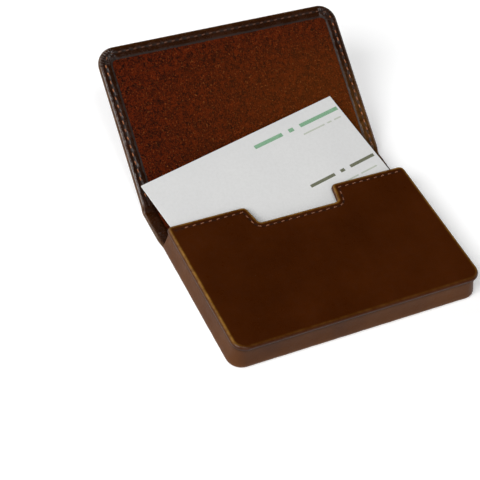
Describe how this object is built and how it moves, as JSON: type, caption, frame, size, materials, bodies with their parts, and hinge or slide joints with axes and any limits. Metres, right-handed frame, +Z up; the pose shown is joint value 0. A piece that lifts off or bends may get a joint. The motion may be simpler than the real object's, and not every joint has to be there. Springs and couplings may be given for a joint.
{
  "type": "business card case",
  "caption": "Leather pocket case for business cards, with a thumb notch, a folding spine and flap, and a card leaning out of the pocket.",
  "frame": {"origin": "middle of the pocket's flat back face", "axes": "+X across the case to the right, +Y from the pocket's foot to its mouth and on to the spine and flap, +Z up out of the back face"},
  "size_m": [0.1009, 0.1288, 0.0353],
  "materials": {
    "leather": "smooth polished chestnut leather",
    "wall_leather": "thin skived leather over the pocket wall",
    "lining": "mottled suede-like lining",
    "thread": "waxed tan sewing thread",
    "board": "grey pressed fibreboard",
    "card": "matt white card stock"
  },
  "bodies": {
    "pocket": {"back_cover": "leather", "back_board": "board", "back_lining": "lining", "wall_leather": "wall_leather", "wall_core": "board", "wall_lining": "lining", "front_cover": "leather", "front_board": "board", "front_lining": "lining", "mouth_thread": "thread"},
    "spine": {"spine_cover": "leather", "spine_lining": "lining"},
    "flap": {"flap_cover": "leather", "flap_board": "board", "flap_lining": "lining", "flap_inner_thread": "thread", "flap_outer_thread": "thread"},
    "card": {"business_card": "card"}
  },
  "joints": [
    {"name": "spine_fold", "type": "hinge", "parent": "pocket", "child": "spine", "pos_m": [0, 0.0328, 0.00042], "axis": [1, 0, 0], "range_deg": [0, 90]},
    {"name": "flap_fold", "type": "hinge", "parent": "spine", "child": "flap", "pos_m": [0, 0.0451, 0.00042], "axis": [1, 0, 0], "range_deg": [-0.5, 58.8]},
    {"name": "card_push", "type": "hinge", "parent": "pocket", "child": "card", "pos_m": [-0.08407, 0.00113, 0.08804], "axis": [-0.7059, 0.0742, -0.7044], "range_deg": [-0.5, 17.5], "deforming": ["business_card"]}
  ],
  "couplings": [
    {"joint": "flap_fold", "follows": "spine_fold", "ratio": 0.64778},
    {"joint": "card_push", "follows": "spine_fold", "ratio": 0.18858}
  ]
}
